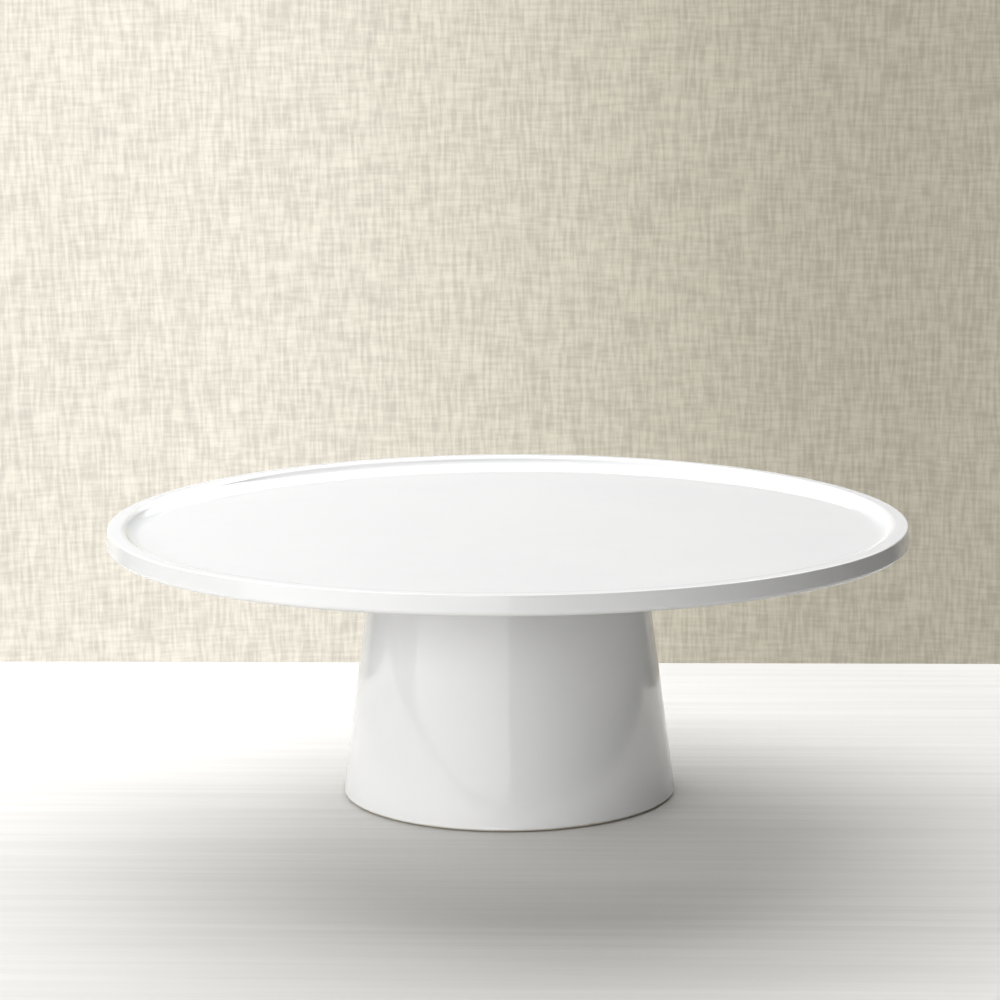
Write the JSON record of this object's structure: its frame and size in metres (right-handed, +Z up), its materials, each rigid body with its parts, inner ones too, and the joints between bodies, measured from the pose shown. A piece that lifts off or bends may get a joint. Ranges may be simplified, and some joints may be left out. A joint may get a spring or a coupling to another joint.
{
  "type": "cake stand",
  "caption": "White glazed ceramic cake stand: flat round plate with a low raised rim, luted to a hollow straight-sided conical pedestal.",
  "frame": {"origin": "on the axis, in the plane that the pads stand on", "axes": "+Z up along the axis, from the pads to the plate; the part is turned about Z, with pads at 45 degrees to X and Y"},
  "size_m": [0.3064, 0.3064, 0.1076],
  "materials": {
    "plate_glaze": "white glaze, high gloss",
    "pedestal_glaze": "white glaze, high gloss, wiped off the foot",
    "joint_slip": "fired slip under a thin coat of the same glaze",
    "foot_pad": "clear soft pad, satin"
  },
  "bodies": {
    "root": {"plate": "plate_glaze", "pedestal": "pedestal_glaze", "slip_joint": "joint_slip", "foot_pad_1": "foot_pad", "foot_pad_2": "foot_pad", "foot_pad_3": "foot_pad", "foot_pad_4": "foot_pad"}
  },
  "joints": []
}
